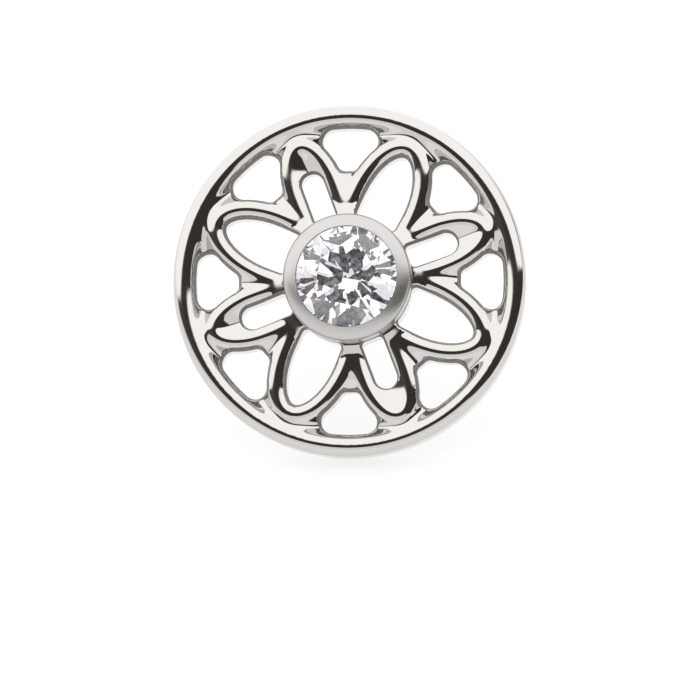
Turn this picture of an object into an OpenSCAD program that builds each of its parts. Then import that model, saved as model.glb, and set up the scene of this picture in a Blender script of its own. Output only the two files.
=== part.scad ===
// Pierced flower disc top for a threadless piercing: the disc, a bezel cup,
// a round brilliant stone and the push pin that holds the top in its post.
// It lies as it would on a table: on the lowest point of the rim and on the pin's tip,
// with its face up and towards -Y. Sizes are in millimetres and degrees.

/* [Rim] */
// Outer diameter of the disc
disc_d = 10; // [9.6:0.1:12]
// Height of the rim from its back face to its crest
rim_h = 1.05; // [0.95:0.05:1.3]
// Width of the half round bar that makes the rim
rim_bar = 0.6; // [0.54:0.02:0.66]
// Radius that breaks the rim's back edge
back_edge = 0.12; // [0.06:0.02:0.16]

/* [Petals] */
// Turn of the whole flower on the disc
flower_turn = -1.85; // [-10:0.05:10]
// Width of the half round bars that draw the petals
petal_bar = 0.48; // [0.44:0.02:0.54]
// How far a wide petal's crest line reaches from the centre
wide_reach = 4.11; // [3.9:0.01:4.2]
// Distance from the centre at which a wide petal is widest
wide_belly = 2.4; // [2.2:0.05:2.7]
// Half the width between a wide petal's crest lines
wide_half = 0.895; // [0.8:0.005:0.95]
// How far a narrow petal's crest line reaches from the centre
narrow_reach = 4.06; // [3.9:0.01:4.15]
// Distance from the centre at which a narrow petal is widest
narrow_belly = 2.75; // [2.6:0.05:2.9]
// Half the width between a narrow petal's crest lines
narrow_half = 0.6; // [0.55:0.005:0.65]

/* [Piercing] */
// Distance from the centre at which the corner gaps begin
gap_start = 3.11; // [3:0.01:3.2]
// Radius of the corner gaps' corners
gap_corner = 0.38; // [0.3:0.01:0.42]
// Width of the slot through a narrow petal
slot_w = 0.72; // [0.66:0.01:0.74]
// How far the slot through a narrow petal reaches
slot_reach = 3.29; // [3.1:0.01:3.35]
// Slope of the scooped floor in a narrow petal's tip
scoop_slope = 42; // [35:1:48]

/* [Bezel cup] */
// Outer diameter of the cup's wall
cup_d = 3.54; // [3.5:0.02:3.6]
// How far the cup's lip stands above the rim's crest
cup_rise = 0.9; // [0.85:0.01:1]
// Diameter of the plug that sits in the disc
plug_d = 3; // [2.9:0.05:3.1]
// Diameter of the opening inside the lip
lip_d = 2.84; // [2.8:0.01:2.88]

/* [Stone] */
// Girdle diameter of the stone
stone_d = 3; // [2.96:0.01:3.02]
// Diameter of the table across its corners
table_d = 1.72; // [1.5:0.02:1.9]
// Height of the crown above the girdle
crown_h = 0.4; // [0.36:0.01:0.45]
// Depth of the pavilion below the girdle
pavilion_h = 1.27; // [1.2:0.01:1.28]
// Turn of the stone in its cup
stone_turn = 11; // [0:1:45]

/* [Push pin] */
// Diameter of the pin
pin_d = 0.56; // [0.5:0.02:0.6]
// Length of the pin from the back of the disc to its tip
pin_l = 5.44; // [5:0.02:6.5]

/* [Hidden] */

// Gap left between two pieces that touch
seat_gap = 0.02;
// Overlap that carries a cut past a face
past = 0.5;
petals_of_a_kind = 4;
quarter = 360 / petals_of_a_kind;
narrow_axis = quarter / 4;
wide_axis = narrow_axis + quarter / 2;

// Rim
disc_r = disc_d / 2;
rim_crest_r = disc_r - rim_bar / 2;
rim_inner_r = disc_r - rim_bar;
rim_sides = 80;
web_sides = 40;
rim_arc_steps = 6;
back_arc_steps = 3;

// Petal bars: a half round top on straight sides that end inside the web
bar_overlap = 0.03;
bar_r = petal_bar / 2 + bar_overlap;
bar_edge_angle = 75;
bar_steps = 6;
bar_foot = 0.3;
bar_profile = concat(
    [[-bar_r * sin(bar_edge_angle), bar_foot]],
    [for (i = [0 : bar_steps])
        let (a = bar_edge_angle * (2 * i / bar_steps - 1))
        [bar_r * sin(a), rim_h - bar_r * (1 - cos(a))]],
    [[bar_r * sin(bar_edge_angle), bar_foot]]
);

// A petal's crest line: half an ellipse towards the rim, and a longer one towards the cup.
// Columns: where it is widest, how far it reaches, length of the half towards the cup, half width
BELLY = 0;
REACH = 1;
ROOT = 2;
HALF = 3;
wide_root = 3;
narrow_root = 1.88;
wide = [wide_belly, wide_reach, wide_root, wide_half];
narrow = [narrow_belly, narrow_reach, narrow_root, narrow_half];
tip_steps = 18;
root_steps = 3;
root_end_r = 1.62;
line_end = 110;
solve_tries = 24;

// Web between the bars: its height at some distances from the centre
web_level = [
    [1.95, 1.0],
    [2.35, 0.97],
    [2.75, 0.89],
    [3.2, 0.79],
    [3.87, 0.83],
    [4.08, 0.95],
    [4.35, 1.0],
    [4.6, 0.95]
];
web_r = 4.8;
web_edge_z = 0.7;
web_middle_z = 1;

// Openings
hub_r = 1.8;
hole_corner = 0.14;
hole_corner_steps = 3;
hub_steps = 4;
hole_side_steps = 19;
slot_end_steps = 9;
gap_apex = 0.26;
gap_corner_steps = 6;
gap_apex_steps = 5;
gap_side_steps = 6;
gap_rim_steps = 5;
plug_r = plug_d / 2;
scoop_in = 0.1;
scoop_start = 2.9;
scoop_end = narrow_reach - 0.06;
scoop_z = rim_h - 0.02;
scoop_steps = 5;

// Bezel cup
cup_r = cup_d / 2;
lip_r = lip_d / 2;
lip_z = rim_h + cup_rise;
lip_flat = 0.05;
lip_break = 0.03;
lip_depth = 0.1;
shoulder_h = 0.34;
shoulder_z = lip_z - shoulder_h;
shoulder_steps = 6;
cup_seat_z = rim_h - 0.02;
well_r = 0.25;
well_floor = 0.34;
well_h = 0.22;

// Stone: a round brilliant, seated by its girdle under the lip
stone_r = stone_d / 2;
table_r = table_d / 2;
girdle_h = 0.06;
girdle_z = 1.69;
crown_z = girdle_z + girdle_h;
table_z = crown_z + crown_h;
culet_z = girdle_z - pavilion_h;
mains = 8;
half_main = 180 / mains;
star_r = 1.18;
star_z = table_z - crown_h * (star_r * cos(half_main) - table_r) / (stone_r - table_r);
lower_r = 0.34;
lower_z = culet_z + pavilion_h * lower_r * cos(half_main) / stone_r;

// Push pin: its tapered root sits in the cup's plug
pin_r = pin_d / 2;
root_r = 0.2;
root_h = 0.24;

// Resting: the floor touches the rim's back edge and the pin's round tip
edge_y = back_edge - disc_r;
edge_z = back_edge;
tip_z = pin_r - pin_l;
edge_to_tip = norm([edge_y, edge_z - tip_z]);
lean = acos((back_edge - pin_r) / edge_to_tip) - atan2(-edge_y, edge_z - tip_z);
floor_drop = edge_y * sin(lean) + edge_z * cos(lean) - back_edge;
crown_of_rim_z = rim_h - rim_bar / 2;
front_y = -rim_crest_r * cos(lean) - crown_of_rim_z * sin(lean) - rim_bar / 2;
rear_y = -tip_z * sin(lean) + pin_r;
rest_shift = [0, -(front_y + rear_y) / 2, -floor_drop];

metal = [0.86, 0.84, 0.82];
clear_stone = [0.9, 0.93, 0.98, 0.75];

// Lays a piece that is drawn flat on its back in the resting place
module at_rest() {
    translate(rest_shift) rotate([lean, 0, 0]) children();
}

// Point of a petal's crest line, drawn along +X, moved outwards by off
function line_point(line, t, off) =
    let (
        along = cos(t) >= 0 ? line[REACH] - line[BELLY] : line[ROOT],
        normal = [line[HALF] * cos(t), along * sin(t)]
    )
    [line[BELLY] + along * cos(t), line[HALF] * sin(t)] + off * normal / norm(normal);

// Angles round a petal's crest line, from one root past the tip to the other
function line_angles(line) =
    let (end = asin((line[BELLY] - root_end_r) / line[ROOT]))
    concat(
        [for (i = [0 : root_steps - 1]) -90 - end * (1 - i / root_steps)],
        [for (i = [0 : tip_steps]) -90 + 180 * i / tip_steps],
        [for (i = [1 : root_steps]) 90 + end * i / root_steps]
    );

// Half the width of a narrow petal's scoop at a distance from the centre
function scoop_half(r) =
    (narrow_half - scoop_in) * sqrt(1 - pow((r - narrow_belly) / (scoop_end - narrow_belly), 2));

module each_petal(axis) {
    for (i = [0 : petals_of_a_kind - 1])
        rotate([0, 0, axis + flower_turn + quarter * i]) children();
}

// A half round bar swept along a petal's crest line
module petal_bar_along(line) {
    angles = line_angles(line);
    n = len(bar_profile);
    last = len(angles) - 1;
    polyhedron(
        points = [for (t = angles, p = bar_profile)
            let (q = line_point(line, t, p[0])) [q[0], q[1], p[1]]],
        faces = concat(
            [[for (j = [0 : n - 1]) j]],
            [for (i = [0 : last - 1], j = [0 : n - 1])
                [i * n + j, (i + 1) * n + j, (i + 1) * n + (j + 1) % n, i * n + (j + 1) % n]],
            [[for (j = [n - 1 : -1 : 0]) last * n + j]]
        )
    );
}

module rim() {
    rotate([0, 0, 180 / rim_sides]) rotate_extrude($fn = rim_sides)
        polygon(concat(
            [[rim_inner_r - bar_overlap, 0]],
            [for (i = [0 : back_arc_steps])
                let (a = 90 * i / back_arc_steps)
                [disc_r - back_edge * (1 - sin(a)), back_edge * (1 - cos(a))]],
            [for (i = [0 : rim_arc_steps])
                let (a = 90 - 165 * i / rim_arc_steps)
                [rim_crest_r + rim_bar / 2 * sin(a), rim_h - rim_bar / 2 * (1 - cos(a))]],
            [[rim_inner_r - bar_overlap, rim_h - rim_bar / 2]]
        ));
}

// Thin web under the bars, highest at the cup and at the petals' tips
module web() {
    rotate_extrude($fn = web_sides)
        polygon(concat([[0, 0], [0, web_middle_z]], web_level, [[web_r, web_edge_z], [web_r, 0]]));
}

// One side of the scoop in a narrow petal's tip, sloping down to the petal's axis
module scoop_side() {
    hull() polyhedron(
        points = [for (i = [0 : scoop_steps])
            let (
                r = scoop_start + (scoop_end - scoop_start) * i / scoop_steps,
                w = scoop_half(r)
            )
            each [
                [r, w, scoop_z],
                [r, 0, scoop_z - w * tan(scoop_slope)],
                [r, w, scoop_z + past],
                [r, 0, scoop_z + past]
            ]],
        faces = [for (i = [0 : scoop_steps], j = [0 : 1]) [4 * i + j, 4 * i + j + 1, 4 * i + j + 2]]
    );
}

module scoop() {
    scoop_side();
    mirror([0, 1, 0]) scoop_side();
}

// Angle on a petal's crest line at which the line moved by off lies at a distance from the centre
function angle_at(line, off, target, lo, hi, tries) =
    tries == 0 ? (lo + hi) / 2
    : let (mid = (lo + hi) / 2)
      norm(line_point(line, mid, off)) > target
        ? angle_at(line, off, target, mid, hi, tries - 1)
        : angle_at(line, off, target, lo, mid, tries - 1);

// Points of an arc about a centre, from one direction to another
function arc(centre, r, from, to, steps) =
    [for (i = [0 : steps]) let (a = from + (to - from) * i / steps) centre + r * [cos(a), sin(a)]];

function direction(v) = atan2(v[1], v[0]);

// The way from direction a to direction b that turns less than half a circle
function turned(a, b) = a + ((b - a + 540) % 360) - 180;

function turn_point(p, a) = [p[0] * cos(a) - p[1] * sin(a), p[0] * sin(a) + p[1] * cos(a)];

function mirrored(points) = [for (i = [len(points) - 1 : -1 : 0]) [points[i][0], -points[i][1]]];

// Corner of a gap that touches a petal's bar and a circle about the disc's centre
function corner(line, r, on_circle, outside, steps) =
    let (
        side = on_circle + (outside ? r : -r),
        t = angle_at(line, petal_bar / 2 + r, side, 0, line_end, solve_tries),
        centre = line_point(line, t, petal_bar / 2 + r),
        to_bar = direction(line_point(line, t, 0) - centre),
        to_circle = direction(outside ? -centre : centre)
    )
    arc(centre, r, to_bar, turned(to_bar, to_circle), steps);

// Angle at which that corner leaves the bar
function corner_angle(line, r, on_circle, outside) =
    angle_at(line, petal_bar / 2 + r, on_circle + (outside ? r : -r), 0, line_end, solve_tries);

// One petal's side of a gap, from the rim to the inner circle
function gap_side(line) =
    let (
        t0 = corner_angle(line, gap_corner, rim_inner_r, false),
        t1 = corner_angle(line, gap_apex, gap_start, true),
        outer = corner(line, gap_corner, rim_inner_r, false, gap_corner_steps),
        inner = corner(line, gap_apex, gap_start, true, gap_apex_steps)
    )
    concat(
        [for (i = [gap_corner_steps : -1 : 0]) outer[i]],
        [for (i = [1 : gap_side_steps - 1])
            line_point(line, t0 + (t1 - t0) * i / gap_side_steps, petal_bar / 2)],
        inner
    );

// A gap with three corners, between a narrow petal on +X and a wide petal half a quarter on
module corner_gap() {
    narrow_side = gap_side(narrow);
    wide_side = [for (p = mirrored(gap_side(wide))) turn_point(p, quarter / 2)];
    from = direction(wide_side[len(wide_side) - 1]);
    to = direction(narrow_side[0]);
    polygon(concat(
        narrow_side,
        wide_side,
        [for (i = [1 : gap_rim_steps - 1]) let (a = from + (to - from) * i / gap_rim_steps)
            rim_inner_r * [cos(a), sin(a)]]
    ));
}

module wide_hole() {
    t = angle_at(wide, -petal_bar / 2 - hole_corner, hub_r + hole_corner, 0, line_end, solve_tries);
    centre = line_point(wide, t, -petal_bar / 2 - hole_corner);
    to_bar = direction(line_point(wide, t, 0) - centre);
    foot = arc(centre, hole_corner, to_bar, turned(to_bar, direction(-centre)), hole_corner_steps);
    sides = [for (i = [1 : hole_side_steps - 1])
        line_point(wide, t * (2 * i / hole_side_steps - 1), -petal_bar / 2)];
    from = direction(foot[hole_corner_steps]);
    hub = [for (i = [1 : hub_steps - 1]) let (a = from * (1 - 2 * i / hub_steps)) hub_r * [cos(a), sin(a)]];
    polygon(concat(sides, foot, hub, mirrored(foot)));
}

module narrow_slot() {
    corner_y = slot_w / 2 - hole_corner;
    centre = [sqrt(pow(hub_r + hole_corner, 2) - pow(corner_y, 2)), corner_y];
    foot = arc(centre, hole_corner, 90, 180 + direction(centre), hole_corner_steps);
    polygon(concat(
        arc([slot_reach - slot_w / 2, 0], slot_w / 2, -90, 90, slot_end_steps),
        foot,
        mirrored(foot)
    ));
}

module openings() {
    translate([0, 0, -past]) linear_extrude(rim_h + 2 * past) {
        each_petal(wide_axis) wide_hole();
        each_petal(narrow_axis) {
            narrow_slot();
            corner_gap();
            mirror([0, 1, 0]) corner_gap();
        }
        circle(r = plug_r + seat_gap, $fn = rim_sides);
    }
}

module flower_disc() color(metal) at_rest() difference() {
    union() {
        rim();
        web();
        each_petal(wide_axis) petal_bar_along(wide);
        each_petal(narrow_axis) petal_bar_along(narrow);
    }
    each_petal(narrow_axis) scoop();
    openings();
}

module bezel_cup() color(metal) at_rest() rotate_extrude($fn = 96)
    polygon(concat(
        [[pin_r + seat_gap, 0], [plug_r, 0], [plug_r, cup_seat_z], [cup_r, rim_h + seat_gap]],
        [for (i = [0 : shoulder_steps])
            let (a = 90 * i / shoulder_steps)
            [lip_r + lip_flat + (cup_r - lip_r - lip_flat) * cos(a), shoulder_z + shoulder_h * sin(a)]],
        [
            [lip_r, lip_z - lip_break],
            [lip_r, lip_z - lip_depth],
            [stone_r + seat_gap, crown_z + seat_gap],
            [stone_r + seat_gap, girdle_z - seat_gap],
            [well_r, well_floor + well_h],
            [well_r, well_floor],
            [0, well_floor],
            [0, root_h],
            [root_r + seat_gap, root_h]
        ]
    ));

// Ring of points at one height, turned by start
function ring(n, r, z, start) =
    [for (i = [0 : n - 1]) let (a = start + 360 * i / n) [r * cos(a), r * sin(a), z]];

module stone() color(clear_stone) at_rest() rotate([0, 0, stone_turn]) {
    table = 0;
    star = table + mains;
    upper = star + mains;
    lower = upper + 2 * mains;
    deep = lower + 2 * mains;
    culet = deep + mains;
    polyhedron(
        points = concat(
            ring(mains, table_r, table_z, 0),
            ring(mains, star_r, star_z, half_main),
            ring(2 * mains, stone_r, crown_z, 0),
            ring(2 * mains, stone_r, girdle_z, 0),
            ring(mains, lower_r, lower_z, half_main),
            [[0, 0, culet_z]]
        ),
        faces = concat(
            [[for (i = [mains - 1 : -1 : 0]) table + i]],
            [for (i = [0 : mains - 1]) let (j = (i + 1) % mains) [table + i, table + j, star + i]],
            [for (i = [0 : mains - 1]) let (k = (i + mains - 1) % mains)
                [table + i, star + i, upper + 2 * i, star + k]],
            [for (i = [0 : mains - 1]) [star + i, upper + 2 * i + 1, upper + 2 * i]],
            [for (i = [0 : mains - 1]) [star + i, upper + (2 * i + 2) % (2 * mains), upper + 2 * i + 1]],
            [for (i = [0 : 2 * mains - 1]) let (j = (i + 1) % (2 * mains))
                [upper + i, upper + j, lower + j, lower + i]],
            [for (i = [0 : mains - 1]) [deep + i, lower + 2 * i, lower + 2 * i + 1]],
            [for (i = [0 : mains - 1]) [deep + i, lower + 2 * i + 1, lower + (2 * i + 2) % (2 * mains)]],
            [for (i = [0 : mains - 1]) let (k = (i + mains - 1) % mains)
                [culet, deep + k, lower + 2 * i, deep + i]]
        )
    );
}

module push_pin() color(metal) at_rest() {
    translate([0, 0, -seat_gap]) cylinder(r1 = pin_r, r2 = root_r, h = root_h, $fn = 48);
    translate([0, 0, tip_z]) {
        cylinder(r = pin_r, h = -tip_z - seat_gap, $fn = 48);
        sphere(r = pin_r, $fn = 48);
    }
}

flower_disc();
bezel_cup();
stone();
push_pin();
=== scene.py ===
"""A pierced flower disc top for a threadless piercing, lying on a pale floor in a soft light tent.

Each piece is a class. Its fields are its sizes in millimetres and degrees, named as in the CAD
source, and its methods build its mesh and dress it. A piece is drawn lying flat with its face up
and the back of the disc at z = 0, and is then laid down the way the top rests on the floor.
"""

import cmath
import logging
import math
from dataclasses import dataclass
from enum import Enum
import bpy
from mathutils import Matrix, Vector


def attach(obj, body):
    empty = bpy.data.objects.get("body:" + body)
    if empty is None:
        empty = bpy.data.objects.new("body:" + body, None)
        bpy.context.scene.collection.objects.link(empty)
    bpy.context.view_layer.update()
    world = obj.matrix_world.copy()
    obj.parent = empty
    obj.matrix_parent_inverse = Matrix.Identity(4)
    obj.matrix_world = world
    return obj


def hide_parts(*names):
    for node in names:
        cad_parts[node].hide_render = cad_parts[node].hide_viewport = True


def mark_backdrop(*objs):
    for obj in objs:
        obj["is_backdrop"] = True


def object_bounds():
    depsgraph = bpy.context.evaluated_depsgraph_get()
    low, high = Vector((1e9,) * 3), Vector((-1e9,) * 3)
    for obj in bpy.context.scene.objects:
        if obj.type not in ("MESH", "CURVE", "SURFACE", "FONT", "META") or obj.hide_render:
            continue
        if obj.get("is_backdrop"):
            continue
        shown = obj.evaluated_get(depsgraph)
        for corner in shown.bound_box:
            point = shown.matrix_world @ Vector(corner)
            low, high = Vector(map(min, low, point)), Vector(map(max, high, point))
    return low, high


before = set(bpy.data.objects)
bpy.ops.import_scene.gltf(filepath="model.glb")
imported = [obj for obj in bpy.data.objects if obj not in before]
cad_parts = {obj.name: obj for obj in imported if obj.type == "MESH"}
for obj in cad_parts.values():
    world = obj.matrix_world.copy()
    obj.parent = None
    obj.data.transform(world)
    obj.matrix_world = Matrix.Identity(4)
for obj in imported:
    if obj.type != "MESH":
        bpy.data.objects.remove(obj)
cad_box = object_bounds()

from types import SimpleNamespace
from typing import Callable, Dict, List, Sequence, Tuple, Union

import bpy
import numpy as np
from mathutils import Matrix, Vector, geometry, kdtree

log = logging.getLogger("flower_top")

MM = 0.001
WELD = 0.0001 * MM
HALF_PI = math.pi / 2
SEAM_ANGLE = math.pi / 4
SEAM = cmath.rect(1, SEAM_ANGLE)
BEVEL = "bevel"
Outline = List[complex]
Colour = Tuple[float, float, float]
Span = Tuple[float, float]
Number = Union[float, "Field"]


def in_scene(name: str, data: bpy.types.ID) -> bpy.types.Object:
    """A new object in the scene with the given mesh or camera.

    Args:
        name: the object's name.
        data: its mesh or camera.

    Returns:
        The object.
    """
    made = bpy.data.objects.new(name, data)
    bpy.context.scene.collection.objects.link(made)
    return made


# Node trees


def arithmetic(operation: str, swapped: bool = False) -> Callable[["Field", Number], "Field"]:
    """An operator of Field that adds one step of arithmetic, with its two numbers swapped or not.

    Args:
        operation: Blender's name for the step.
        swapped: whether the other number comes first.

    Returns:
        The operator.
    """

    def operator(field: "Field", other: Number) -> "Field":
        """Adds the step to the field's tree."""
        return field.tree.math(operation, *((other, field) if swapped else (field, other)))

    return operator


class Field:
    """A number that a node tree works out, ready for ordinary arithmetic."""

    def __init__(self, tree: "Tree", socket: bpy.types.NodeSocket) -> None:
        """Wraps one output socket of a tree."""
        self.tree = tree
        self.socket = socket

    __add__ = __radd__ = arithmetic("ADD")
    __mul__ = __rmul__ = arithmetic("MULTIPLY")
    __sub__ = arithmetic("SUBTRACT")
    __rsub__ = arithmetic("SUBTRACT", swapped=True)
    __truediv__ = arithmetic("DIVIDE")
    __rtruediv__ = arithmetic("DIVIDE", swapped=True)


def between(first: Number, second: Number, share: Field) -> Field:
    """The first number where the share is 0, and the second where it is 1."""
    return first + (second - first) * share


class Tree:
    """A node tree that is being written: nodes go in one at a time, with their links."""

    def __init__(self, nodes: bpy.types.NodeTree) -> None:
        """Starts on an existing node tree."""
        self.nodes = nodes

    def add(self, kind: str, *values: object, **settings: object) -> bpy.types.Node:
        """Adds a node.

        Args:
            kind: Blender's name for the node type.
            values: what goes into the enabled inputs, in order; None leaves an input alone.
            settings: properties of the node itself.

        Returns:
            The new node.
        """
        node = self.nodes.nodes.new(kind)
        for name, value in settings.items():
            setattr(node, name, value)
        for socket, value in zip([s for s in node.inputs if s.enabled], values):
            self.feed(socket, value)
        return node

    def feed(self, socket: bpy.types.NodeSocket, value: object) -> None:
        """Links or sets one input.

        Args:
            socket: the input.
            value: a Field or a plain value; None leaves the input alone.
        """
        if isinstance(value, Field):
            self.nodes.links.new(value.socket, socket)
        elif value is not None:
            socket.default_value = value

    def get(self, kind: str, *values: object, out: int = 0, **settings: object) -> Field:
        """Adds a node, as add does, and gives its output with the number out."""
        return Field(self, self.add(kind, *values, **settings).outputs[out])

    def math(self, operation: str, *values: Number) -> Field:
        """One step of arithmetic, by Blender's name for it."""
        return self.get("ShaderNodeMath", *values, operation=operation)

    def parts(self, vector: Field) -> List[Field]:
        """The three parts of a vector."""
        node = self.add("ShaderNodeSeparateXYZ", vector)
        return [Field(self, out) for out in node.outputs]

    def vector(self, x: Number, y: Number, z: Number) -> Field:
        """A vector from its parts."""
        return self.get("ShaderNodeCombineXYZ", x, y, z)

    def vector_math(self, operation: str, *values: object, out: int = 0) -> Field:
        """One step of vector arithmetic, by Blender's name for it."""
        return self.get("ShaderNodeVectorMath", *values, operation=operation, out=out)

    def smooth_step(self, value: Field, low: Number, high: Number) -> Field:
        """Rises smoothly from 0 at low to 1 at high."""
        return self.get("ShaderNodeMapRange", value, low, high, 0.0, 1.0, interpolation_type="SMOOTHSTEP")

    def place(self) -> Field:
        """The Object coordinates of a shaded point, in metres."""
        return self.get("ShaderNodeTexCoord", out=3)

    def noise(self, place: Field, scale: float, detail: float) -> Field:
        """Soft noise from 0 to 1 over a place, of the given scale and number of finer layers."""
        return self.get("ShaderNodeTexNoise", place, scale, detail)

    def mixed(self, share: Field, first: Colour, second: Colour) -> Field:
        """The first colour where the share is 0, and the second where it is 1.

        Args:
            share: the second colour's share.
            first: the first colour.
            second: the second colour.

        Returns:
            The mixed colour.
        """
        node = self.add("ShaderNodeMix", data_type="RGBA")
        sockets = (node.inputs[0], *node.inputs[6:8])
        for socket, value in zip(sockets, (share, (*first, 1.0), (*second, 1.0))):
            self.feed(socket, value)
        return Field(self, node.outputs[2])


class GeometryTree(Tree):
    """A Geometry Nodes tree with named inputs that turns one mesh into a finished one."""

    def __init__(self, name: str) -> None:
        """Starts an empty tree.

        Args:
            name: the tree's name.
        """
        super().__init__(bpy.data.node_groups.new(name, "GeometryNodeTree"))
        self.source = self.nodes.nodes.new("NodeGroupInput")
        self.values = {}
        self.mesh = self._input("Mesh", "NodeSocketGeometry")
        self.material = self._input("Material", "NodeSocketMaterial")

    def _input(self, name: str, kind: str) -> Field:
        """Adds a named input to the tree."""
        self.nodes.interface.new_socket(name, in_out="INPUT", socket_type=kind)
        return Field(self, self.source.outputs[name])

    def size(self, name: str, value: float) -> Field:
        """Adds a named size, or a named count, and notes the value that the modifier gives it."""
        self.values[name] = value
        return self._input(name, "NodeSocketInt" if isinstance(value, int) else "NodeSocketFloat")

    def distance(self, guide: Field, place: Field) -> Field:
        """Distance from a place to the nearest edge of a guide."""
        return self.get("GeometryNodeProximity", guide, None, place, out=1, target_element="EDGES")

    def moved(self, mesh: Field, place: Field, only: object = None) -> Field:
        """A mesh with its points, or only some of them, put in another place."""
        return self.get("GeometryNodeSetPosition", mesh, only, place)

    def marked(self, mesh: Field, name: str, value: Number, only: object = None) -> Field:
        """A mesh with a value noted on its points, or only on some of them, under a name."""
        return self.get("GeometryNodeStoreNamedAttribute", mesh, only, name, value,
                        data_type="FLOAT", domain="POINT")

    def welded(self, mesh: Field) -> Field:
        """A mesh with its doubled points made one."""
        return self.get("GeometryNodeMergeByDistance", mesh, None, WELD)

    def repeated(self, part: Field, count: Field, start: float = 0.0) -> Field:
        """Repeats a part round the axis and joins the copies.

        Args:
            part: the geometry.
            count: how many copies make the whole turn.
            start: angle of the first copy in degrees.

        Returns:
            The copies as one geometry.
        """
        points = self.get("GeometryNodeMeshLine", count, (0, 0, 0), (0, 0, 0), mode="OFFSET")
        turn = self.get("GeometryNodeInputIndex") * math.tau / count + math.radians(start)
        rotation = self.get("FunctionNodeEulerToRotation", self.vector(0.0, 0.0, turn))
        copies = self.get("GeometryNodeInstanceOnPoints", points, None, part, None, None, rotation)
        return self.get("GeometryNodeRealizeInstances", copies)

    def finish(self, result: Field) -> None:
        """Ends the tree with real geometry in its finish.

        Args:
            result: the geometry.
        """
        real = self.get("GeometryNodeRealizeInstances", result)
        dressed = self.get("GeometryNodeSetMaterial", real, None, self.material)
        self.nodes.interface.new_socket("Mesh", in_out="OUTPUT", socket_type="NodeSocketGeometry")
        self.feed(self.nodes.nodes.new("NodeGroupOutput").inputs[0], dressed)

    def applied(self, mesh: bpy.types.Mesh, material: bpy.types.Material) -> bpy.types.Mesh:
        """Runs the tree on a mesh.

        Args:
            mesh: what goes in.
            material: the finish that the result wears.

        Returns:
            The result as a plain mesh.
        """
        carrier = in_scene(self.nodes.name, mesh)
        modifier = carrier.modifiers.new(self.nodes.name, "NODES")
        modifier.node_group = self.nodes
        given = dict(self.values, Material=material)
        for item in self.nodes.interface.items_tree:
            if item.in_out == "INPUT" and item.name in given:
                modifier[item.identifier] = given[item.name]
        graph = bpy.context.evaluated_depsgraph_get()
        result = bpy.data.meshes.new_from_object(carrier.evaluated_get(graph))
        bpy.data.objects.remove(carrier)
        bpy.data.meshes.remove(mesh)
        return result


# Finishes


class NodeFinish:
    """A finish that is a node material of its own."""

    name: str

    def looks(self, tree: Tree) -> Dict[str, object]:
        """What goes into the shader's inputs, by their names."""
        raise NotImplementedError

    def material(self) -> bpy.types.Material:
        """The node material, built once.

        Returns:
            The material.
        """
        made = bpy.data.materials.get(self.name)
        if made is None:
            made = bpy.data.materials.new(self.name)
            made.use_nodes = True
            tree = Tree(made.node_tree)
            shader = made.node_tree.nodes["Principled BSDF"]
            for name, value in self.looks(tree).items():
                tree.feed(shader.inputs[name], value)
        return made


@dataclass(frozen=True)
class Metal(NodeFinish):
    """White metal with the small unevenness that its last working leaves.

    The colour is the metal's own reflectance. Waves are the slow unevenness of a hand polish,
    and grain is the fine scratch pattern, which may be drawn out along one axis. A mesh may name
    its bevels, which no polishing wheel reaches, in an attribute that runs from 0 at a bevel's
    lower edge to 1 at its upper edge. The bevels are rough, and they are painted a dark colour
    that is not metal: painted shade in place of the dark reflections along the edges of the openings.
    """

    name: str
    colour: Colour
    roughness: float
    roughness_spread: float
    wave_scale: float = 700.0
    wave_depth: float = 0.0
    wave_detail: float = 2.0
    grain_scale: Tuple[float, float, float] = (9000.0, 9000.0, 9000.0)
    grain_depth: float = 0.0
    grain_detail: float = 3.0
    bevels: str = ""
    # painted shade: this dark colour on the bevels stands in for the dark reflections along the edges of
    # the openings
    painted_bevel_shade: Colour = (0.205, 0.193, 0.18)
    bevel_roughness: float = 0.5
    bevel_start: Span = (-0.5, 0.0)
    bevel_end: Span = (1.0, 1.15)

    def looks(self, tree: Tree) -> Dict[str, object]:
        """Colour, roughness and bump, with painted shade on the bevels if there are any.

        Args:
            tree: the material's tree.

        Returns:
            The shader's inputs by their names.
        """
        place = tree.place()
        waves = tree.noise(place, self.wave_scale, self.wave_detail)
        grain = tree.noise(tree.vector_math("MULTIPLY", place, self.grain_scale), 1.0, self.grain_detail)
        colour, metallic = (*self.colour, 1.0), 1.0
        roughness = (grain - 0.5) * (2.0 * self.roughness_spread) + self.roughness
        if self.bevels:
            across = tree.get("ShaderNodeAttribute", out=2, attribute_name=self.bevels)
            # painted shade on the bevels: a dark colour that is not metal, with a rougher finish
            dull_and_painted_shade = tree.smooth_step(across, *self.bevel_start)
            dull_and_painted_shade = dull_and_painted_shade * (1.0 - tree.smooth_step(across, *self.bevel_end))
            colour, metallic = tree.mixed(dull_and_painted_shade, self.colour, self.painted_bevel_shade), 1.0 - dull_and_painted_shade
            roughness = between(roughness, self.bevel_roughness, dull_and_painted_shade)
        bump = tree.add("ShaderNodeBump")
        tree.feed(bump.inputs["Distance"], 1.0)
        tree.feed(bump.inputs["Height"], waves * (self.wave_depth * MM) + grain * (self.grain_depth * MM))
        normal = Field(tree, bump.outputs[0])
        return {"Base Color": colour, "Metallic": metallic, "Roughness": roughness, "Normal": normal}


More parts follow.
